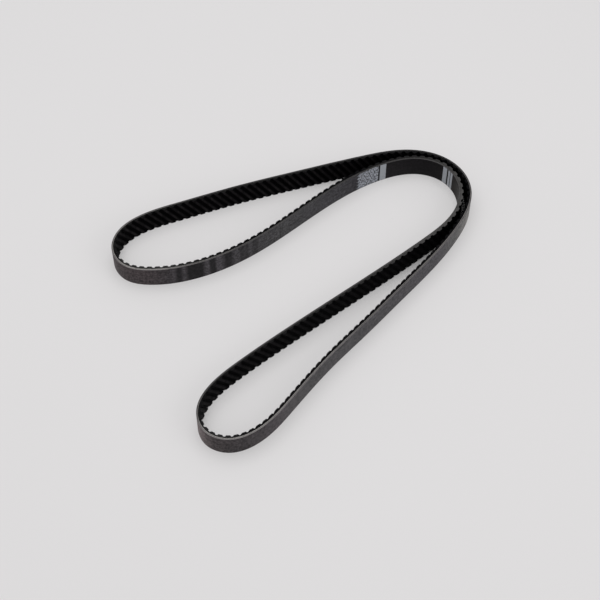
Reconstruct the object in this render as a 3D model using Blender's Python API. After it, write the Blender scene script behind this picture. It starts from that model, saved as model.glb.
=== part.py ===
"""Timing belt: an endless toothed rubber belt, standing on its edge and folded into two long lobes.

The belt is built in layers between its smooth back and its teeth, as a moulded belt is:
a thin back cover, the turns of the tensile cord, and the rubber body with its slanted teeth.
All layers follow one closed loop and keep a small clearance to each other.
Units are metres, +Z runs across the belt's width, and the origin is at the centre of the footprint.
"""

import math

import bmesh
import bpy
import numpy as np

MM = 0.001

# Driving dimensions
WIDTH = 25.4 * MM
PITCH = 8.0 * MM
TOOTH_COUNT = 210
TOOTH_LEAD = 2 * PITCH          # how far a tooth advances round the loop from the lower edge to the upper

# Layers, measured from the smooth back towards the teeth
BACK_COVER_DEPTH = 0.6 * MM
CORD_DEPTH = 1.2 * MM           # the cord's axis, which is the belt's pitch line
CORD_DIAMETER = 0.8 * MM
CORD_TURNS = 18
BODY_DEPTH = 1.8 * MM
LAND_DEPTH = 3.1 * MM
TIP_DEPTH = 4.5 * MM

# One tooth, as half-widths along the pitch line
ROOT_HALF_WIDTH = 2.9 * MM
TIP_HALF_WIDTH = 2.2 * MM
TOOTH_LEVELS = 3                # sections of the slanted teeth from the lower edge to the upper

# Route of the smooth back, counter-clockwise seen from above, in millimetres
ROUTE = [
    # left lobe, near strand
    (-189.5, 47), (-176.5, 25.5), (-151, 19), (-112, 24.5), (-57, 50), (14, 107),
    # inner bend
    (70, 148), (97, 160), (126, 164), (152.4, 152.2), (164.4, 128), (156.2, 92.6),
    # lower lobe, far strand
    (127, 61), (75.5, 19), (-4.5, -43.5), (-60.5, -89.5), (-86.5, -116.5),
    # lower lobe, end
    (-96.5, -143), (-88, -165), (-66, -173.5), (-37.5, -162.5), (-7.5, -129.5),
    # lower lobe, near strand
    (30.5, -80.5), (65.5, -41.5), (100.5, -1.5), (137, 41), (163.5, 79),
    # outer bend
    (177.5, 118), (171, 146.5), (149.5, 168), (114, 177),
    # left lobe, far strand
    (67.5, 169), (-7, 146.5), (-66, 127.5), (-125.5, 105.5), (-164.5, 88), (-184, 69.5),
]
STEPS_PER_SPAN = 80             # samples of the loop's curve between two route points
WALL_SAG = 0.35 * MM            # how far a smooth wall's flat faces may leave the curve
LONGEST_FACE = 400 * MM


def periodic_spline(points, steps):
    """Samples a closed cubic spline with a continuous bend through the points."""
    count = len(points)
    following = np.roll(points, -1, axis=0)
    spans = np.linalg.norm(following - points, axis=1)
    slopes = (following - points) / spans[:, None]
    matrix = np.zeros((count, count))
    for i in range(count):
        matrix[i, i - 1] += spans[i - 1]
        matrix[i, i] += 2 * (spans[i - 1] + spans[i])
        matrix[i, (i + 1) % count] += spans[i]
    bends = np.linalg.solve(matrix, 6 * (slopes - np.roll(slopes, 1, axis=0)))
    samples = []
    for i in range(count):
        j = (i + 1) % count
        h = spans[i]
        for a in np.linspace(h, 0, steps, endpoint=False):
            b = h - a
            cubic = (bends[i] * a ** 3 + bends[j] * b ** 3) / (6 * h)
            linear = (points[i] / h - bends[i] * h / 6) * a + (points[j] / h - bends[j] * h / 6) * b
            samples.append(cubic + linear)
    return np.array(samples)


def inward_normals(samples):
    """Unit vectors to the left of the counter-clockwise route, into the loop."""
    tangents = np.roll(samples, -1, axis=0) - np.roll(samples, 1, axis=0)
    tangents /= np.linalg.norm(tangents, axis=1)[:, None]
    return np.column_stack((-tangents[:, 1], tangents[:, 0]))


class Loop:
    """The pitch line of the belt, as long as its teeth make it, read by the distance along it."""

    def __init__(self):
        back = periodic_spline(np.array(ROUTE, dtype=float) * MM, STEPS_PER_SPAN)
        back -= (back.min(axis=0) + back.max(axis=0)) / 2
        self.length = TOOTH_COUNT * PITCH
        scale = 1.0
        for _ in range(4):
            normals = inward_normals(back)
            line = back * scale + normals * CORD_DEPTH
            steps = np.linalg.norm(np.roll(line, -1, axis=0) - line, axis=1)
            scale *= self.length / steps.sum()
        self.line = line
        self.normals = normals
        self.stations_along = np.concatenate(([0.0], np.cumsum(steps)[:-1]))

    def point(self, along, depth):
        """A plan point at a distance along the pitch line and a depth below the smooth back."""
        along = along % self.length
        x, y = (self._read(self.line[:, k], along) for k in (0, 1))
        nx, ny = (self._read(self.normals[:, k], along) for k in (0, 1))
        size = math.hypot(nx, ny)
        inward = (depth - CORD_DEPTH) / size
        return (x + nx * inward, y + ny * inward)

    def _read(self, values, along):
        return float(np.interp(along, self.stations_along, values, period=self.length))

    def stations(self):
        """Distances for a smooth wall: close together in the bends, far apart on the straights."""
        nx, ny = self.normals[:, 0], self.normals[:, 1]
        turns = np.abs(nx * np.roll(ny, -1) - ny * np.roll(nx, -1))
        steps = np.diff(np.append(self.stations_along, self.length))
        effort = np.cumsum(np.sqrt(turns * steps / (8 * WALL_SAG)) + steps / LONGEST_FACE)
        count = math.ceil(effort[-1])
        targets = np.arange(count) * effort[-1] / count
        return np.interp(targets, np.concatenate(([0.0], effort[:-1])), self.stations_along)


def clear_scene():
    for obj in list(bpy.data.objects):
        bpy.data.objects.remove(obj, do_unlink=True)


def new_collection(name):
    collection = bpy.data.collections.new(name)
    bpy.context.scene.collection.children.link(collection)
    return collection


def rubber(name, colour, roughness):
    material = bpy.data.materials.new(name)
    material.use_nodes = True
    shader = material.node_tree.nodes["Principled BSDF"]
    shader.inputs["Base Color"].default_value = (*colour, 1.0)
    shader.inputs["Roughness"].default_value = roughness
    shader.inputs["Metallic"].default_value = 0.0
    return material


def add_outline(curve, points):
    spline = curve.splines.new("POLY")
    spline.points.add(len(points) - 1)
    for target, (x, y) in zip(spline.points, points):
        target.co = (x, y, 0.0, 1.0)
    spline.use_cyclic_u = True


def back_cover(loop, collection, material):
    """The smooth outer layer: two offset outlines, filled between and extruded over the width."""
    curve = bpy.data.curves.new("back_cover", "CURVE")
    curve.dimensions = "2D"
    curve.fill_mode = "BOTH"
    curve.extrude = WIDTH / 2
    for depth in (0.0, BACK_COVER_DEPTH):
        add_outline(curve, [loop.point(along, depth) for along in loop.stations()])
    cover = bpy.data.objects.new("back_cover", curve)
    cover.location.z = WIDTH / 2
    curve.materials.append(material)
    collection.objects.link(cover)


def cord_turn(loop, number, collection, material):
    """One turn of the tensile cord, a closed ring on the pitch line."""
    name = f"cord_turn_{number:02d}"
    curve = bpy.data.curves.new(name, "CURVE")
    curve.dimensions = "3D"
    curve.twist_mode = "Z_UP"
    curve.bevel_depth = CORD_DIAMETER / 2
    curve.bevel_resolution = 0
    add_outline(curve, [loop.point(along, CORD_DEPTH) for along in loop.stations()])
    ring = bpy.data.objects.new(name, curve)
    ring.location.z = (number - 0.5) * WIDTH / CORD_TURNS
    curve.materials.append(material)
    collection.objects.link(ring)


def tooth_outline(loop, height):
    """The toothed side at one height: four corners for each tooth, moved along by the slant."""
    advance = TOOTH_LEAD * height / WIDTH
    corners = ((-ROOT_HALF_WIDTH, LAND_DEPTH), (-TIP_HALF_WIDTH, TIP_DEPTH),
               (TIP_HALF_WIDTH, TIP_DEPTH), (ROOT_HALF_WIDTH, LAND_DEPTH))
    outline = []
    for tooth in range(TOOTH_COUNT):
        centre = (tooth + 0.5) * PITCH + advance
        for offset, depth in corners:
            outline.append(loop.point(centre + offset, depth))
    return outline


def add_ring(bm, points, height):
    return [bm.verts.new((x, y, height)) for x, y in points]


def join_rings(bm, lower, upper):
    """A wall of four-sided faces between two rings with the same number of points."""
    for i in range(len(lower)):
        j = (i + 1) % len(lower)
        bm.faces.new((lower[i], lower[j], upper[j], upper[i]))


def ring_edges(bm, ring):
    return [bm.edges.get((ring[i - 1], ring[i])) for i in range(len(ring))]


def tooth_body(loop, collection, material):
    """The rubber body: a smooth wall next to the cord, slanted teeth lofted between levels, flat edges."""
    bm = bmesh.new()
    heights = np.linspace(0.0, WIDTH, TOOTH_LEVELS)
    teeth = [add_ring(bm, tooth_outline(loop, height), height) for height in heights]
    for lower, upper in zip(teeth, teeth[1:]):
        join_rings(bm, lower, upper)
    wall_points = [loop.point(along, BODY_DEPTH) for along in loop.stations()]
    walls = [add_ring(bm, wall_points, height) for height in (0.0, WIDTH)]
    join_rings(bm, *walls)
    for toothed, smooth in ((teeth[0], walls[0]), (teeth[-1], walls[1])):
        edges = ring_edges(bm, toothed) + ring_edges(bm, smooth)
        bmesh.ops.triangle_fill(bm, edges=edges, use_beauty=True, use_dissolve=False)
    bmesh.ops.triangulate(bm, faces=[face for face in bm.faces if len(face.verts) > 3])
    bmesh.ops.recalc_face_normals(bm, faces=bm.faces)
    mesh = bpy.data.meshes.new("tooth_body")
    bm.to_mesh(mesh)
    bm.free()
    mesh.materials.append(material)
    collection.objects.link(bpy.data.objects.new("tooth_body", mesh))


def main():
    clear_scene()
    collection = new_collection("timing_belt")
    loop = Loop()
    back_cover(loop, collection, rubber("back_rubber", (0.045, 0.045, 0.048), 0.55))
    cord = rubber("glass_cord", (0.55, 0.54, 0.48), 0.60)
    for number in range(1, CORD_TURNS + 1):
        cord_turn(loop, number, collection, cord)
    tooth_body(loop, collection, rubber("tooth_rubber", (0.012, 0.012, 0.013), 0.65))


main()
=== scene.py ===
"""Timing belt: an endless black belt with slanted teeth, standing on its edge and folded into two lobes.

Each CAD layer gets a fine visual piece: the smooth back, the turns of the glass cord, the tooth rubber,
and the woven facing over the teeth. The printed marks are thin ink on the back. All of them follow the
CAD model's own loop, which is centred on the back cover's box. Units are metres.
"""

import math

import bpy
import numpy as np
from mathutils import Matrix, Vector


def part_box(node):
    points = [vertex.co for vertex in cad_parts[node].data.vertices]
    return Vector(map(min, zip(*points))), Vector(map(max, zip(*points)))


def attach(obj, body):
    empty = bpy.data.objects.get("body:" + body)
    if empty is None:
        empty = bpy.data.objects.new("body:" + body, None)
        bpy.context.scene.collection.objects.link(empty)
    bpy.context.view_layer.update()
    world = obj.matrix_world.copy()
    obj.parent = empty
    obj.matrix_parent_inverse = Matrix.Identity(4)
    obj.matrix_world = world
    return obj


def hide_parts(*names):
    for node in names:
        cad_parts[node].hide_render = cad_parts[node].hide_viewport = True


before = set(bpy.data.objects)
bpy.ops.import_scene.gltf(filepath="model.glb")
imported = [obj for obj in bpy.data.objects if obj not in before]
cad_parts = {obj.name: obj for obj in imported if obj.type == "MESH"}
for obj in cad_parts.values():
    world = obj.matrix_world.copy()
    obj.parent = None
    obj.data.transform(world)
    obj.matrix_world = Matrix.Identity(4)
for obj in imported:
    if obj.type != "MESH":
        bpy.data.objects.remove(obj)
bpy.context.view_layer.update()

MM = 0.001

# The belt, as the CAD model has it
TOOTH_COUNT = 210
PITCH = 8.0 * MM
TOOTH_LEAD = 2 * PITCH
CORD_TURNS = 18
CORD_DEPTH = 1.2 * MM
CORD_DIAMETER = 0.8 * MM
LAND_DEPTH = 3.1 * MM
TIP_DEPTH = 4.5 * MM
ROOT_HALF_WIDTH = 2.9 * MM
TIP_HALF_WIDTH = 2.2 * MM

# The CAD model's route of the smooth back, counter-clockwise seen from above, in millimetres
ROUTE = [
    # left lobe, near strand
    (-189.5, 47), (-176.5, 25.5), (-151, 19), (-112, 24.5), (-57, 50), (14, 107),
    # inner bend
    (70, 148), (97, 160), (126, 164), (152.4, 152.2), (164.4, 128), (156.2, 92.6),
    # lower lobe, far strand
    (127, 61), (75.5, 19), (-4.5, -43.5), (-60.5, -89.5), (-86.5, -116.5),
    # lower lobe, end
    (-96.5, -143), (-88, -165), (-66, -173.5), (-37.5, -162.5), (-7.5, -129.5),
    # lower lobe, near strand
    (30.5, -80.5), (65.5, -41.5), (100.5, -1.5), (137, 41), (163.5, 79),
    # outer bend
    (177.5, 118), (171, 146.5), (149.5, 168), (114, 177),
    # left lobe, far strand
    (67.5, 169), (-7, 146.5), (-66, 127.5), (-125.5, 105.5), (-164.5, 88), (-184, 69.5),
]
STEPS_PER_SPAN = 80

# Fine detail that the CAD model leaves out
WALL_STEP = 2.0 * MM            # length of a smooth wall's facets
CORD_STEP = 4.0 * MM
CORD_SIDES = 6
COVER_INNER_DEPTH = 0.78 * MM   # the back rubber reaches the cord
BODY_INNER_DEPTH = 1.62 * MM    # and so does the tooth rubber
BACK_CORNER_RADIUS = 0.45 * MM
TIP_RADIUS = 1.0 * MM
TIP_ARC_STEPS = 3
ROOT_RADIUS = 0.6 * MM
ROOT_ARC_STEPS = 2
BACK_ARC_STEPS = 5
FACING_THICKNESS = 0.28 * MM
FACING_EDGE = 0.25 * MM         # rounding of the teeth at the belt's two edges
FACING_END = [(0.0, 0.5), (0.3, 0.15)]  # its shape: shares of it above the cut edge and into the rubber
SHARP_ANGLE = math.radians(50)
OUTER_LEVELS = 9                # rows of faces up the outside of the teeth
HIDDEN_LEVELS = 5               # and behind the facing
EDGE_CORD_DROP = 0.03 * MM      # how far the outermost cord turns lie below the cut edges

# How the finish changes along the loop: stops of a distance in millimetres and a colour or a share.
# Painted highlights pale the lobe ends and outer bend; painted shade makes the inner bend nearly black.
BACK_TONES_AND_PAINTED_LIGHT = [
    # left lobe, end and near strand
    (0, (0.063, 0.051, 0.053)), (50, (0.062, 0.050, 0.053)), (68, (0.046, 0.040, 0.043)),
    (80, (0.063, 0.057, 0.062)), (130, (0.065, 0.060, 0.066)), (200, (0.058, 0.057, 0.059)),
    (280, (0.050, 0.048, 0.054)),
    # inner bend, darkened with painted shade
    (330, (0.009, 0.0075, 0.009)), (385, (0.004, 0.0030, 0.004)), (425, (0.007, 0.004, 0.0035)),
    (470, (0.018, 0.016, 0.016)),
    # lower lobe, from its end, with a painted highlight, to its near strand
    (790, (0.055, 0.050, 0.051)), (828, (0.155, 0.126, 0.126)), (846, (0.060, 0.050, 0.051)),
    (868, (0.048, 0.042, 0.044)), (890, (0.052, 0.046, 0.049)), (915, (0.074, 0.065, 0.070)),
    (960, (0.068, 0.065, 0.067)), (1160, (0.071, 0.067, 0.074)),
    # outer bend, with a painted highlight, and the left lobe's far strand
    (1195, (0.102, 0.100, 0.099)), (1230, (0.190, 0.181, 0.174)), (1244, (0.070, 0.066, 0.068)),
    (1262, (0.036, 0.034, 0.036)), (1320, (0.045, 0.045, 0.045)), (1680, (0.063, 0.051, 0.053)),
]
# Dark bands across the back: middle, half of the darkest stretch and half of the whole band, in
# millimetres, and darkness
DARK_BANDS = [
    (80.5, 1.5, 5.0, 0.72), (97.0, 7.0, 11.5, 0.80), (115.5, 2.0, 4.5, 0.75),
    (132.5, 2.5, 8.5, 0.72), (150.5, 3.5, 7.5, 0.50), (163.5, 2.0, 5.0, 0.40),
]
# How far the back's corners are abraded pale and the cord beside them bared, with a painted rim highlight
EDGE_WEAR_AND_HIGHLIGHT = [
    (0, 0.60), (12, 0.78), (30, 0.86), (60, 0.78), (85, 0.42), (150, 0.19), (290, 0.09), (400, 0.10),
    (790, 0.20), (820, 0.46), (838, 0.82), (870, 0.80), (900, 0.72), (960, 0.60), (1050, 0.40),
    (1160, 0.45), (1230, 0.40), (1300, 0.12), (1560, 0.12), (1640, 0.45), (1680, 0.60),
]
# Painted light on the slit edges, lighter where the light catches them
CUT_EDGE_PAINTED_LIGHT = [
    (0, 0.10), (25, 0.30), (60, 0.40), (85, 0.25), (140, 0.02), (300, 0.01), (380, 0.30), (410, 0.85),
    (470, 0.90), (540, 0.55), (600, 0.20), (800, 0.05), (830, 0.15), (850, 0.35), (875, 0.05),
    (1240, 0.01), (1340, 0.10), (1640, 0.10), (1680, 0.10),
]
# Painted sheen: grey on the facing's tooth tips, so they look lit against the lands
TIP_SHEEN = [
    (0, 1.0), (430, 0.8), (470, 0.30), (600, 0.30), (700, 0.55), (800, 0.85), (1300, 0.6), (1420, 0.8),
    (1480, 1.0), (1680, 1.0),
]

# Printed marks: start and end along the loop
PRINT_PANEL = (297.8 * MM, 324.2 * MM)
PRINT_BARS = [(326 * MM, 333 * MM), (397 * MM, 402.4 * MM), (404.4 * MM, 407.3 * MM),
              (408.2 * MM, 411.5 * MM)]
PANEL_INK = (0.34, 0.36, 0.40)
BAR_INK = (0.30, 0.315, 0.34)
PRINT_THICKNESS = 0.05 * MM
PRINT_SUNK = 0.6                # share of the ink's thickness that lies in the rubber
PRINT_MARGIN = 0.6 * MM         # bare rubber at each edge of the belt
PRINT_COLUMN = 1.0 * MM
PRINT_ROWS = 20
ZIGZAG_ROWS = 4                 # rows from one point of the panel's ragged edge to the next
ZIGZAG_DEPTH = 3.4 * MM

LOW, HIGH = (np.array(corner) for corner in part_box("back_cover"))
BOTTOM, TOP = LOW[2], HIGH[2]
WIDTH = TOP - BOTTOM


# ---------------------------------------------------------------- the loop

def periodic_spline(points, steps):
    """Samples a closed cubic spline with a continuous bend through the points."""
    count = len(points)
    following = np.roll(points, -1, axis=0)
    spans = np.linalg.norm(following - points, axis=1)
    slopes = (following - points) / spans[:, None]
    matrix = np.zeros((count, count))
    for i in range(count):
        matrix[i, i - 1] += spans[i - 1]
        matrix[i, i] += 2 * (spans[i - 1] + spans[i])
        matrix[i, (i + 1) % count] += spans[i]
    bends = np.linalg.solve(matrix, 6 * (slopes - np.roll(slopes, 1, axis=0)))
    samples = []
    for i in range(count):
        j = (i + 1) % count
        h = spans[i]
        for a in np.linspace(h, 0, steps, endpoint=False):
            b = h - a
            cubic = (bends[i] * a ** 3 + bends[j] * b ** 3) / (6 * h)
            linear = (points[i] / h - bends[i] * h / 6) * a + (points[j] / h - bends[j] * h / 6) * b
            samples.append(cubic + linear)
    return np.array(samples)


def inward_normals(samples):
    """Unit vectors to the left of the counter-clockwise route, into the loop."""
    tangents = np.roll(samples, -1, axis=0) - np.roll(samples, 1, axis=0)
    tangents /= np.linalg.norm(tangents, axis=1)[:, None]
    return np.column_stack((-tangents[:, 1], tangents[:, 0]))


class Loop:
    """The pitch line of the belt, as long as its teeth make it, read by the distance along it."""

    def __init__(self):
        back = periodic_spline(np.array(ROUTE, dtype=float) * MM, STEPS_PER_SPAN)
        back -= (back.min(axis=0) + back.max(axis=0)) / 2
        self.length = TOOTH_COUNT * PITCH
        scale = 1.0
        for _ in range(4):
            normals = inward_normals(back)
            line = back * scale + normals * CORD_DEPTH
            steps = np.linalg.norm(np.roll(line, -1, axis=0) - line, axis=1)
            scale *= self.length / steps.sum()
        self.line = line + (LOW[:2] + HIGH[:2]) / 2
        self.normals = normals
        self.stations_along = np.concatenate(([0.0], np.cumsum(steps)[:-1]))

    def points(self, along, depth):
        """Plan points at distances along the pitch line and depths below the smooth back."""
        x, y = (self._read(self.line[:, k], along) for k in (0, 1))
        nx, ny = (self._read(self.normals[:, k], along) for k in (0, 1))
        inward = (depth - CORD_DEPTH) / np.hypot(nx, ny)
        return np.column_stack((x + nx * inward, y + ny * inward))

    def _read(self, values, along):
        return np.interp(np.mod(along, self.length), self.stations_along, values, period=self.length)


LOOP = Loop()


# ---------------------------------------------------------------- mesh tools

def add_mesh(name, vertices, faces, uv, face_slots, materials):
    """A smooth-shaded object whose UV map holds the distance along the loop and across the belt."""
    mesh = bpy.data.meshes.new(name)
    mesh.from_pydata(vertices.tolist(), [], faces.tolist())
    layer = mesh.uv_layers.new(name="belt")
    layer.data.foreach_set("uv", uv.reshape(-1).astype(np.float32))
    for material in materials:
        mesh.materials.append(material)
    mesh.polygons.foreach_set("material_index", face_slots.astype(np.int32))
    mesh.shade_smooth()
    mesh.set_sharp_from_angle(angle=SHARP_ANGLE)
    mesh.update()
    piece = bpy.data.objects.new(name, mesh)
    bpy.context.scene.collection.objects.link(piece)
    return piece


def ring_grid(name, rings, travel, across, band_slots, materials):
    """A closed skin over rings that run once round the loop, the last joined to the first.

    rings is (ring, point, xyz); travel and across are each point's place along and across the belt.
    """
    ring_count, point_count = travel.shape
    k = np.repeat(np.arange(ring_count), point_count)
    i = np.tile(np.arange(point_count), ring_count)
    k_next = (k + 1) % ring_count
    i_next = (i + 1) % point_count
    faces = np.column_stack((
        k * point_count + i,
        k_next * point_count + i,
        k_next * point_count + i_next,
        k * point_count + i_next,
    ))
    wrap = np.where(i_next == 0, LOOP.length, 0.0)
    uv = np.stack((
        np.column_stack((travel[k, i], across[k, i])),
        np.column_stack((travel[k_next, i], across[k_next, i])),
        np.column_stack((travel[k_next, i_next] + wrap, across[k_next, i_next])),
        np.column_stack((travel[k, i_next] + wrap, across[k, i_next])),
    ), axis=1)
    slots = np.repeat(np.array(band_slots), point_count)
    return add_mesh(name, rings.reshape(-1, 3), faces, uv, slots, materials)


def at_height(plan, height):
    return np.column_stack((plan, np.full(len(plan), height)))


def arc(centre, radius, start, end, steps):
    """Points on an arc, from one angle in degrees to another."""
    angles = np.radians(np.linspace(start, end, steps + 1))
    return [(centre[0] + radius * math.cos(a), centre[1] + radius * math.sin(a)) for a in angles]


def fillet(before, corner, after, radius, steps):
    """The rounded corner between two straight lines, as points on its arc."""
    before, corner, after = (np.array(p) for p in (before, corner, after))
    back = (before - corner) / np.linalg.norm(before - corner)
    ahead = (after - corner) / np.linalg.norm(after - corner)
    half_angle = math.acos(np.clip(back @ ahead, -1, 1)) / 2
    bisector = (back + ahead) / np.linalg.norm(back + ahead)
    centre = corner + bisector * radius / math.sin(half_angle)
    reach = radius / math.tan(half_angle)
    first = corner + back * reach - centre
    last = corner + ahead * reach - centre
    turn = math.atan2(first[0] * last[1] - first[1] * last[0], first @ last)
    points = []
    for step in range(steps + 1):
        angle = turn * step / steps
        cosine, sine = math.cos(angle), math.sin(angle)
        turned = (first[0] * cosine - first[1] * sine, first[0] * sine + first[1] * cosine)
        points.append(centre + np.array(turned))
    return points


# ---------------------------------------------------------------- tooth profile

def tooth_profile():
    """One rounded tooth and its land, as offsets along the belt from the tooth's middle and depths."""
    corners = [
        (-PITCH / 2, LAND_DEPTH), (-ROOT_HALF_WIDTH, LAND_DEPTH), (-TIP_HALF_WIDTH, TIP_DEPTH),
        (TIP_HALF_WIDTH, TIP_DEPTH), (ROOT_HALF_WIDTH, LAND_DEPTH), (PITCH / 2, LAND_DEPTH),
    ]
    radii = (ROOT_RADIUS, TIP_RADIUS, TIP_RADIUS, ROOT_RADIUS)
    steps = (ROOT_ARC_STEPS, TIP_ARC_STEPS, TIP_ARC_STEPS, ROOT_ARC_STEPS)
    points = []
    for n, (radius, count) in enumerate(zip(radii, steps)):
        points += fillet(*corners[n:n + 3], radius, count)
    return np.array(points)


PROFILE = tooth_profile()


def profile_normals():
    """Outward normals of the repeating profile, away from the rubber."""
    shift = np.array((PITCH, 0.0))
    before = np.vstack((PROFILE[-1] - shift, PROFILE[:-1]))
    after = np.vstack((PROFILE[1:], PROFILE[0] + shift))
    tangents = after - before
    tangents /= np.linalg.norm(tangents, axis=1)[:, None]
    return np.column_stack((-tangents[:, 1], tangents[:, 0]))


PROFILE_NORMALS = profile_normals()


def profile_travel():
    """Distance over the profile's surface, scaled so that one tooth takes one pitch."""
    steps = np.linalg.norm(np.diff(PROFILE, axis=0), axis=1)
    run = np.concatenate(([0.0], np.cumsum(steps)))
    gap = PROFILE[0, 0] + PITCH - PROFILE[-1, 0]
    return run / (run[-1] + gap) * PITCH


PROFILE_TRAVEL = profile_travel()


def toothed_ring(height, inset):
    """The toothed side at one height above the lower edge, set back into the rubber by the inset.

    Returns its points, and each point's distance over the toothed surface.
    """
    shape = PROFILE - PROFILE_NORMALS * inset
    middles = (np.arange(TOOTH_COUNT) + 0.5) * PITCH + TOOTH_LEAD * height / WIDTH
    along = (middles[:, None] + shape[None, :, 0]).reshape(-1)
    depth = np.tile(shape[:, 1], TOOTH_COUNT)
    travel = (middles[:, None] - PITCH / 2 + PROFILE_TRAVEL[None, :]).reshape(-1)
    return at_height(LOOP.points(along, depth), BOTTOM + height), travel


def smooth_ring_under_teeth(height, depth):
    """A smooth ring with the same number of points as a toothed ring, straight behind them."""
    middles = (np.arange(TOOTH_COUNT) + 0.5) * PITCH + TOOTH_LEAD * height / WIDTH
    along = (middles[:, None] + PROFILE[None, :, 0]).reshape(-1)
    return at_height(LOOP.points(along, depth), BOTTOM + height), along


# ---------------------------------------------------------------- material tools

NOISE_RANGE = (0.3, 0.7)        # where most of a noise's values lie


class Paint:
    """A Principled material, with short calls to add and join its nodes."""

    def __init__(self, name, colour, roughness):
        self.material = bpy.data.materials.new(name)
        self.material.use_nodes = True
        self.material.diffuse_color = (*colour, 1.0)
        self.tree = self.material.node_tree
        self.shader = self.tree.nodes["Principled BSDF"]
        self.set(self.shader, "Base Color", (*colour, 1.0))
        self.set(self.shader, "Roughness", roughness)

    def set(self, node, socket, value):
        """Sets a socket to a number or a colour, or joins it to another node's socket."""
        if isinstance(value, bpy.types.NodeSocket):
            self.tree.links.new(value, node.inputs[socket])
        else:
            node.inputs[socket].default_value = value

    def node(self, kind, inputs=None, **settings):
        made = self.tree.nodes.new(kind)
        for name, value in settings.items():
            setattr(made, name, value)
        for socket, value in (inputs or {}).items():
            self.set(made, socket, value)
        return made

    def belt_place(self, along, across):
        """Coordinates that run along and across the belt, in patterns per metre."""
        place = self.node("ShaderNodeUVMap", uv_map="belt")
        return self.node("ShaderNodeMapping", {"Vector": place.outputs["UV"], "Scale": (along, across, 1.0)})

    def noise(self, vector, scale, detail=3.0, roughness=0.5):
        inputs = {"Vector": vector, "Scale": scale, "Detail": detail, "Roughness": roughness}
        return self.node("ShaderNodeTexNoise", inputs).outputs["Fac"]

    def belt_noise(self, along, across, detail=3.0, roughness=0.5):
        return self.noise(self.belt_place(along, across).outputs["Vector"], 1.0, detail, roughness)

    def object_noise(self, scale, detail=3.0, roughness=0.5):
        place = self.node("ShaderNodeTexCoord")
        return self.noise(place.outputs["Object"], scale, detail, roughness)

    def remap(self, value, low, high, to_low=0.0, to_high=1.0):
        inputs = {"Value": value, "From Min": low, "From Max": high, "To Min": to_low, "To Max": to_high}
        return self.node("ShaderNodeMapRange", inputs).outputs["Result"]

    def swing(self, noise, reach):
        """A noise's usual range as a number between minus the reach and the reach."""
        return self.remap(noise, *NOISE_RANGE, -reach, reach)

    def spread(self, noise, low, high):
        """A noise's usual range as a number between two numbers."""
        return self.remap(noise, *NOISE_RANGE, low, high)

    def math(self, operation, first, second=0.0):
        made = self.node("ShaderNodeMath", operation=operation)
        self.set(made, 0, first)
        self.set(made, 1, second)
        return made.outputs["Value"]

    def mix(self, share, first, second):
        """A colour between two colours."""
        made = self.node("ShaderNodeMix", data_type="RGBA")
        self.set(made, "Factor", share)
        for socket, value in zip([s for s in made.inputs if s.type == "RGBA"], (first, second)):
            if isinstance(value, bpy.types.NodeSocket):
                self.tree.links.new(value, socket)
            else:
                socket.default_value = (*value, 1.0)
        return next(s for s in made.outputs if s.type == "RGBA")

    def scaled(self, colour, share):
        """A colour made lighter or darker by a number."""
        made = self.node("ShaderNodeVectorMath", operation="SCALE")
        self.set(made, 0, colour)
        self.set(made, "Scale", share)
        return made.outputs["Vector"]

    def total(self, *values):
        """The sum of several numbers."""
        result = values[0]
        for value in values[1:]:
            result = self.math("ADD", result, value)
        return result

    def product(self, *values):
        """Several numbers multiplied."""
        result = values[0]
        for value in values[1:]:
            result = self.math("MULTIPLY", result, value)
        return result

    def finish(self, colour, roughness, height, depth, specular=None):
        """Gives the shader its colour and roughness, and a bump of the given depth in metres."""
        self.set(self.shader, "Base Color", colour)
        self.set(self.shader, "Roughness", roughness)
        if specular is not None:
            self.set(self.shader, "Specular IOR Level", specular)
        made = self.node("ShaderNodeBump", {"Height": height, "Distance": depth, "Strength": 1.0})
        self.set(self.shader, "Normal", made.outputs["Normal"])
        return self.material


def belt_parts(paint, along=1.0, across=1.0):
    """Outputs X and Y: the distances along the loop and across the belt, in patterns or metres."""
    place = paint.belt_place(along, across)
    return paint.node("ShaderNodeSeparateXYZ", {"Vector": place.outputs["Vector"]}).outputs


def along_colours(paint, stops):
    """A colour that changes smoothly along the loop, through stops of a distance in mm and a colour."""
    start, end = stops[0][0], stops[-1][0]
    share = paint.remap(belt_parts(paint)["X"], start * MM, end * MM)
    ramp = paint.node("ShaderNodeValToRGB", {"Fac": share})
    ramp.color_ramp.interpolation = "LINEAR"
    elements = ramp.color_ramp.elements
    while len(elements) < len(stops):
        elements.new(0.5)
    for element, (distance, colour) in zip(elements, stops):
        element.position = (distance - start) / (end - start)
        element.color = (*colour, 1.0)
    return ramp.outputs["Color"]


def along_value(paint, stops):
    """A number from 0 to 1 that changes smoothly along the loop, through stops like a colour's."""
    colour = along_colours(paint, [(distance, (value, value, value)) for distance, value in stops])
    return paint.node("ShaderNodeRGBToBW", {"Color": colour}).outputs["Val"]


def band_stops(bands):
    """The stops of a number that is 1 along the loop and drops to less in each band."""
    stops = []
    for middle, core, reach, darkness in bands:
        low = 1.0 - darkness
        stops += [(middle - reach, 1.0), (middle - core, low), (middle + core, low), (middle + reach, 1.0)]
    return stops


def tip_share(paint):
    """1 on the tooth tips and 0 on the lands, from the place along the facing."""
    parts = belt_parts(paint)
    slant = paint.math("MULTIPLY", parts["Y"], TOOTH_LEAD / WIDTH)
    turned = paint.math("MULTIPLY", paint.math("SUBTRACT", parts["X"], slant), 2 * math.pi / PITCH)
    return paint.remap(paint.math("COSINE", turned), 1.0, -1.0)


def threads(paint, along, across):
    """A woven pattern: two sets of rounded threads that cross, as a height from 0 to 1."""
    parts = belt_parts(paint, along, across)
    waves = []
    for axis in ("X", "Y"):
        turned = paint.math("MULTIPLY", parts[axis], 2 * math.pi)
        waves.append(paint.math("SINE", turned))
    woven = paint.math("MULTIPLY", waves[0], waves[1])
    return paint.remap(woven, -1.0, 1.0)


# ---------------------------------------------------------------- materials

FINE_GRAIN = 1500               # patterns per metre of the rubber's finest grain


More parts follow.
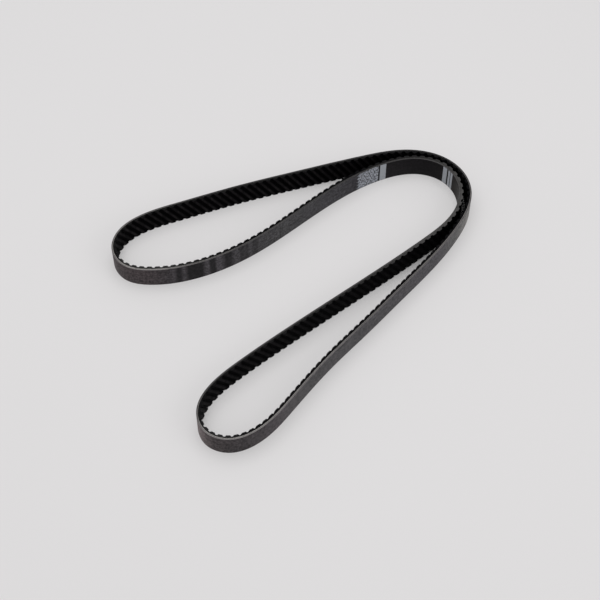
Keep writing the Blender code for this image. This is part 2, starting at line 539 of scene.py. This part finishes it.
def back_rubber():
    """Ground rubber: its tone with painted light and shade along the loop, dark bands across, grain, dust
    and scuffs.
    """
    dust_grey = (0.16, 0.155, 0.15)
    scuff_grey = (0.14, 0.14, 0.14)
    paint = Paint("back_rubber", (0.05, 0.05, 0.05), 0.50)
    ripples = paint.belt_noise(along=150, across=4, detail=3.0, roughness=0.6)
    patches = paint.belt_noise(along=14, across=30, detail=4.0, roughness=0.6)
    streaks = paint.belt_noise(along=25, across=300, detail=3.0, roughness=0.6)
    scuffs = paint.belt_noise(along=60, across=900, detail=4.0, roughness=0.7)
    grain = paint.object_noise(FINE_GRAIN, detail=3.0, roughness=0.65)
    mottle = paint.object_noise(480, detail=2.0, roughness=0.6)
    specks = paint.object_noise(700, detail=5.0, roughness=0.75)
    tone = paint.total(
        paint.remap(ripples, 0.34, 0.66, -0.12, 0.12), paint.swing(patches, 0.14), paint.swing(grain, 0.22),
        paint.swing(mottle, 0.60), paint.swing(streaks, 0.20), 1.0,
    )
    # the rubber's tone along the loop, with painted highlights and painted shade
    tones_and_painted_light = along_colours(paint, BACK_TONES_AND_PAINTED_LIGHT)
    colour = paint.scaled(paint.scaled(tones_and_painted_light, along_value(paint, band_stops(DARK_BANDS))), tone)
    dust = paint.product(paint.remap(specks, 0.66, 0.74), 0.25)
    colour = paint.mix(dust, colour, dust_grey)
    scuffed = paint.product(paint.remap(scuffs, 0.62, 0.78), 0.18)
    colour = paint.mix(scuffed, colour, scuff_grey)
    relief = paint.total(paint.product(grain, 0.6), paint.product(ripples, 0.6))
    return paint.finish(colour, paint.spread(patches, 0.44, 0.56), relief, depth=0.06 * MM, specular=0.08)


def cut_edge_rubber():
    """The slit edges: matt black rubber with fine knife lines, and painted light on them in the bends."""
    black = (0.0025, 0.0025, 0.003)
    lit_edge_grey = (0.085, 0.082, 0.080)
    paint = Paint("cut_edge_rubber", (0.010, 0.010, 0.010), 0.65)
    lines = paint.object_noise(1300, detail=3.0, roughness=0.7)
    smears = paint.belt_noise(along=60, across=5, detail=4.0, roughness=0.6)
    # painted light: the slit edges lighter where the light catches them
    edge_painted_light = paint.product(along_value(paint, CUT_EDGE_PAINTED_LIGHT), paint.remap(smears, 0.3, 0.6, 0.7, 1.1))
    colour = paint.scaled(paint.mix(edge_painted_light, black, lit_edge_grey), paint.spread(lines, 0.7, 1.3))
    return paint.finish(colour, paint.spread(smears, 0.58, 0.72), lines, depth=0.05 * MM, specular=0.03)


def highlit_worn_corner():
    """The back's rounded corners: the same rubber, abraded pale with a painted highlight where the belt
    bends most.
    """
    rubber = (0.030, 0.029, 0.030)
    rubbed_pale_and_highlight = (0.42, 0.39, 0.385)
    paint = Paint("highlit_worn_corner", (0.07, 0.07, 0.07), 0.45)
    grain = paint.object_noise(FINE_GRAIN, detail=4.0, roughness=0.7)
    wear_and_sheen_noise = paint.belt_noise(along=45, across=4, detail=4.0, roughness=0.6)
    # abrasion together with a painted highlight along the rim
    worn_and_highlit = paint.product(
        paint.remap(wear_and_sheen_noise, 0.28, 0.55, 0.5, 1.0), paint.remap(grain, 0.35, 0.6, 0.7, 1.0),
        along_value(paint, EDGE_WEAR_AND_HIGHLIGHT),
    )
    colour = paint.mix(worn_and_highlit, rubber, rubbed_pale_and_highlight)
    return paint.finish(colour, paint.spread(grain, 0.40, 0.55), grain, depth=0.05 * MM, specular=0.25)


def glass_cord():
    """Twisted glass fibre, pale where the slit has bared it and under the painted rim highlight, black with
    rubber elsewhere.
    """
    rubber = (0.020, 0.019, 0.019)
    shaded_fibre = (0.44, 0.41, 0.39)
    lit_fibre = (0.70, 0.67, 0.64)
    paint = Paint("glass_cord", (0.45, 0.43, 0.39), 0.55)
    place = paint.belt_place(along=900, across=900)
    twist = paint.node("ShaderNodeTexWave", {
        "Vector": place.outputs["Vector"], "Scale": 1.0, "Distortion": 1.2, "Detail": 2.0,
    }, wave_type="BANDS", bands_direction="DIAGONAL").outputs["Fac"]
    smears = paint.belt_noise(along=70, across=70, detail=4.0, roughness=0.65)
    # bared cord together with the painted rim highlight
    bared_and_highlit = paint.product(along_value(paint, EDGE_WEAR_AND_HIGHLIGHT), paint.remap(smears, 0.3, 0.5, 0.6, 1.0))
    colour = paint.mix(bared_and_highlit, rubber, paint.mix(twist, shaded_fibre, lit_fibre))
    roughness = paint.remap(twist, 0.0, 1.0, 0.60, 0.45)
    return paint.finish(colour, roughness, twist, depth=0.08 * MM, specular=0.25)


def tooth_rubber():
    """The plain black rubber under the facing."""
    paint = Paint("tooth_rubber", (0.012, 0.012, 0.013), 0.65)
    grain = paint.object_noise(FINE_GRAIN, detail=4.0, roughness=0.65)
    colour = paint.mix(grain, (0.002, 0.002, 0.003), (0.008, 0.008, 0.008))
    return paint.finish(colour, paint.spread(grain, 0.58, 0.72), grain, depth=0.05 * MM)


def woven_facing():
    """The black fabric moulded over the teeth: a fine weave soaked with rubber, with painted sheen in grey
    on the tips.
    """
    gap_black = (0.0004, 0.0004, 0.0006)
    thread_black = (0.0016, 0.0014, 0.0018)
    sheen_grey = (0.019, 0.017, 0.018)
    paint = Paint("woven_facing", (0.006, 0.006, 0.007), 0.72)
    weave = threads(paint, along=1100, across=1100)
    soak = paint.belt_noise(along=120, across=120, detail=4.0, roughness=0.6)
    wear_and_sheen_noise = paint.belt_noise(along=300, across=60, detail=3.0, roughness=0.6)
    # painted sheen: grey on the tooth tips
    sheen_on_tips = paint.product(
        paint.remap(tip_share(paint), 0.55, 0.95), paint.remap(wear_and_sheen_noise, 0.40, 0.65, 0.3, 1.0),
        along_value(paint, TIP_SHEEN),
    )
    colour = paint.mix(sheen_on_tips, paint.mix(weave, gap_black, thread_black), sheen_grey)
    return paint.finish(colour, paint.spread(soak, 0.55, 0.72), weave, depth=0.07 * MM, specular=0.015)


def printed_ink(name, base, speckled):
    """Pale blue-grey ink, abraded and broken by the rubber's grain. The panel also has dark specks."""
    dark = (0.030, 0.031, 0.036)
    pale = tuple(1.4 * part for part in base)
    paint = Paint(name, base, 0.55)
    fine = paint.object_noise(900, detail=4.0, roughness=0.7)
    lost = paint.product(paint.remap(fine, 0.55, 0.72), 0.6)
    colour = paint.mix(lost, paint.mix(fine, base, pale), dark)
    if speckled:
        specks = paint.remap(paint.belt_noise(along=640, across=560, detail=0.0), 0.36, 0.66)
        colour = paint.mix(specks, colour, dark)
    return paint.finish(colour, paint.spread(fine, 0.48, 0.64), fine, depth=0.04 * MM, specular=0.25)


def studio_floor():
    """The floor: part of its light is a painted glow of its own, and painted shade darkens it where the belt
    closes over it.
    """
    paint = Paint("studio_floor", (0.40, 0.393, 0.393), 0.85)
    cloud = paint.object_noise(3.0, detail=2.0, roughness=0.5)
    open_sky = paint.node("ShaderNodeAmbientOcclusion", {"Distance": 60 * MM}, samples=8).outputs["AO"]
    surface = paint.mix(cloud, (0.395, 0.388, 0.388), (0.405, 0.398, 0.398))
    # painted shade: the floor's colour darkens where the belt closes over it
    surface = paint.scaled(surface, paint.remap(open_sky, 0.14, 0.32, 0.04, 1.0))
    paint.set(paint.shader, "Base Color", surface)
    paint.set(paint.shader, "Emission Color", (1.0, 0.985, 0.985, 1.0))
    # painted light: the floor glows, except where the belt closes over it
    paint.set(paint.shader, "Emission Strength", paint.remap(open_sky, 0.14, 0.34, 0.0, 0.35))
    return paint.material


# ---------------------------------------------------------------- pieces

def even_stations(step):
    """Distances round the loop, evenly spaced and close to the step."""
    count = round(LOOP.length / step)
    return np.arange(count) * LOOP.length / count


def swept_ring(name, profile, band_slots, materials, stations):
    """A closed profile of depths and heights above the lower edge, swept once round the loop."""
    rings = np.array([at_height(LOOP.points(stations, depth), BOTTOM + height) for depth, height in profile])
    travel = np.tile(stations, (len(profile), 1))
    across = np.repeat(np.array([[height] for _, height in profile]), len(stations), axis=1)
    return ring_grid(name, rings, travel, across, band_slots, materials)


def make_back(rubber, corner, edge):
    """The smooth back with its two rounded corners."""
    radius, steps = BACK_CORNER_RADIUS, BACK_ARC_STEPS
    upper = arc((radius, WIDTH - radius), radius, 180, 90, steps)
    lower = arc((radius, radius), radius, 270, 180, steps)
    profile = lower + upper + [(COVER_INNER_DEPTH, WIDTH), (COVER_INNER_DEPTH, 0.0)]
    on_back, on_corner, on_cut = range(3)
    slots = [on_corner] * steps + [on_back] + [on_corner] * steps + [on_cut] * 3
    back = swept_ring("smooth_back", profile, slots, [rubber, corner, edge], even_stations(WALL_STEP))
    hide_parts("back_cover")
    return back


def make_cord_turn(number, fibre):
    """One closed turn of the cord. The two outermost turns lie just under the cut edges."""
    height = (number - 0.5) * WIDTH / CORD_TURNS
    reach = CORD_DIAMETER / 2
    if number == 1:
        height = reach + EDGE_CORD_DROP
    elif number == CORD_TURNS:
        height = WIDTH - reach - EDGE_CORD_DROP
    angles = np.radians(np.linspace(90, -270, CORD_SIDES, endpoint=False))
    profile = [(CORD_DEPTH + reach * math.cos(a), height + reach * math.sin(a)) for a in angles]
    name = f"glass_cord_{number:02d}"
    turn = swept_ring(name, profile, [0] * CORD_SIDES, [fibre], even_stations(CORD_STEP))
    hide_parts(f"cord_turn_{number:02d}")
    return turn


def tooth_levels(count):
    """Evenly spaced heights between the softened ends of the facing."""
    return np.linspace(FACING_EDGE, WIDTH - FACING_EDGE, count)


def toothed_skin(name, parts, band_slots, materials):
    """A closed skin over rings that follow the teeth, given with their distances along the belt."""
    rings = np.array([ring for ring, _ in parts])
    travel = np.array([along for _, along in parts])
    return ring_grid(name, rings, travel, rings[:, :, 2] - BOTTOM, band_slots, materials)


def make_tooth_rubber(rubber, edge):
    """The moulded rubber under the facing, whose flat cut edges show between the facing and the cord."""
    heights = [WIDTH, *tooth_levels(HIDDEN_LEVELS)[::-1], 0.0]
    parts = [smooth_ring_under_teeth(height, BODY_INNER_DEPTH) for height in (0.0, WIDTH)]
    parts += [toothed_ring(height, FACING_THICKNESS) for height in heights]
    on_rubber, on_cut = range(2)
    slots = [on_rubber, on_cut] + [on_rubber] * (len(heights) - 1) + [on_cut]
    body = toothed_skin("tooth_rubber_core", parts, slots, [rubber, edge])
    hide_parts("tooth_body")
    return body


def make_facing(fabric):
    """The woven facing: a skin over every tooth and land, with softened ends at the belt's edges."""
    ends = [(rise * FACING_EDGE, inset * FACING_EDGE) for rise, inset in FACING_END]
    outer = [(WIDTH, FACING_THICKNESS)] + [(WIDTH - rise, inset) for rise, inset in ends]
    outer += [(height, 0.0) for height in tooth_levels(OUTER_LEVELS)[::-1]]
    outer += ends[::-1] + [(0.0, FACING_THICKNESS)]
    inner = [(height, FACING_THICKNESS) for height in tooth_levels(HIDDEN_LEVELS)]
    parts = [toothed_ring(height, inset) for height, inset in outer + inner]
    facing = toothed_skin("woven_tooth_facing", parts, [0] * len(parts), [fabric])
    return facing


def patch_faces(rows, columns):
    """The faces of a thin patch: its outer layer of points, its inner layer and the border between them."""
    layer = (rows + 1) * (columns + 1)

    def index(side, row, column):
        return side * layer + row * (columns + 1) + column

    faces = []
    for row in range(rows):
        for column in range(columns):
            corners = [(row, column), (row, column + 1), (row + 1, column + 1), (row + 1, column)]
            faces.append([index(0, r, c) for r, c in corners])
            faces.append([index(1, r, c) for r, c in reversed(corners)])
    border = [(0, c) for c in range(columns)] + [(r, columns) for r in range(rows)]
    border += [(rows, c) for c in range(columns, 0, -1)] + [(r, 0) for r in range(rows, 0, -1)]
    for here, there in zip(border, border[1:] + border[:1]):
        faces.append([index(0, *there), index(0, *here), index(1, *here), index(1, *there)])
    return np.array(faces)


def make_print(name, start, end, ink, ragged):
    """A thin printed patch on the back, across the belt. A ragged one has a zigzag first edge."""
    columns = max(2, round((end - start) / PRINT_COLUMN))
    rows = np.arange(PRINT_ROWS + 1)
    heights = PRINT_MARGIN + rows * (WIDTH - 2 * PRINT_MARGIN) / PRINT_ROWS
    half = ZIGZAG_ROWS / 2
    notches = ZIGZAG_DEPTH * np.abs(rows % ZIGZAG_ROWS - half) / half if ragged else 0.0 * rows
    vertices, uv_points = [], []
    for depth in ((PRINT_SUNK - 1) * PRINT_THICKNESS, PRINT_SUNK * PRINT_THICKNESS):
        for height, notch in zip(heights, notches):
            along = np.linspace(start + notch, end, columns + 1)
            vertices.append(at_height(LOOP.points(along, depth), BOTTOM + height))
            uv_points.append(np.column_stack((along, np.full(columns + 1, height))))
    faces = patch_faces(PRINT_ROWS, columns)
    uv = np.vstack(uv_points)[faces.reshape(-1)]
    return add_mesh(name, np.vstack(vertices), faces, uv, np.zeros(len(faces)), [ink])


def make_prints():
    panel_ink = printed_ink("printed_panel_ink", PANEL_INK, True)
    bar_ink = printed_ink("printed_bar_ink", BAR_INK, False)
    prints = [make_print("printed_panel", *PRINT_PANEL, panel_ink, True)]
    for number, (start, end) in enumerate(PRINT_BARS, 1):
        prints.append(make_print(f"printed_bar_{number}", start, end, bar_ink, False))
    return prints


# ---------------------------------------------------------------- studio

CAMERA_AIM = np.array((0.0062, -0.00125, 0.0))
CAMERA_DISTANCE = 1.4353
CAMERA_ELEVATION = math.radians(55)
CAMERA_LENS = 86.4
CAMERA_SENSOR = 36.0
FLOOR_REACH = 10.0
SKY_COLOUR = (0.98, 0.98, 1.0, 1.0)
SKY_STRENGTH = 0.55


def make_camera():
    data = bpy.data.cameras.new("camera")
    data.lens = CAMERA_LENS
    data.sensor_width = CAMERA_SENSOR
    camera = bpy.data.objects.new("camera", data)
    offset = np.array((0.0, -math.cos(CAMERA_ELEVATION), math.sin(CAMERA_ELEVATION)))
    camera.location = CAMERA_AIM + CAMERA_DISTANCE * offset
    camera.rotation_euler = (math.pi / 2 - CAMERA_ELEVATION, 0.0, 0.0)
    bpy.context.scene.collection.objects.link(camera)
    bpy.context.scene.camera = camera


def make_floor():
    mesh = bpy.data.meshes.new("floor")
    reach = FLOOR_REACH
    corners = [(-reach, -reach, 0), (reach, -reach, 0), (reach, reach, 0), (-reach, reach, 0)]
    mesh.from_pydata(corners, [], [(0, 1, 2, 3)])
    mesh.materials.append(studio_floor())
    floor = bpy.data.objects.new("floor", mesh)
    bpy.context.scene.collection.objects.link(floor)


def add_softbox(name, location, size, power):
    """A rectangular light that faces the origin."""
    data = bpy.data.lights.new(name, "AREA")
    data.shape = "RECTANGLE"
    data.size, data.size_y = size
    data.energy = power
    light = bpy.data.objects.new(name, data)
    light.location = location
    light.rotation_euler = (-Vector(location)).to_track_quat("-Z", "Y").to_euler()
    bpy.context.scene.collection.objects.link(light)


def make_light():
    world = bpy.data.worlds.new("studio")
    world.use_nodes = True
    background = world.node_tree.nodes["Background"]
    background.inputs["Color"].default_value = SKY_COLOUR
    background.inputs["Strength"].default_value = SKY_STRENGTH
    bpy.context.scene.world = world
    add_softbox("softbox_over", location=(-0.2, 0.3, 1.6), size=(1.6, 1.2), power=10.6)
    add_softbox("softbox_right", location=(1.3, -0.7, 1.1), size=(1.2, 1.0), power=5.3)
    bpy.context.scene.view_settings.view_transform = "Standard"


def main():
    edge = cut_edge_rubber()
    pieces = [make_back(back_rubber(), highlit_worn_corner(), edge)]
    fibre = glass_cord()
    for number in range(1, CORD_TURNS + 1):
        pieces.append(make_cord_turn(number, fibre))
    pieces.append(make_tooth_rubber(tooth_rubber(), edge))
    pieces.append(make_facing(woven_facing()))
    pieces += make_prints()
    for piece in pieces:
        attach(piece, "root")
    make_floor()
    make_light()
    make_camera()


main()
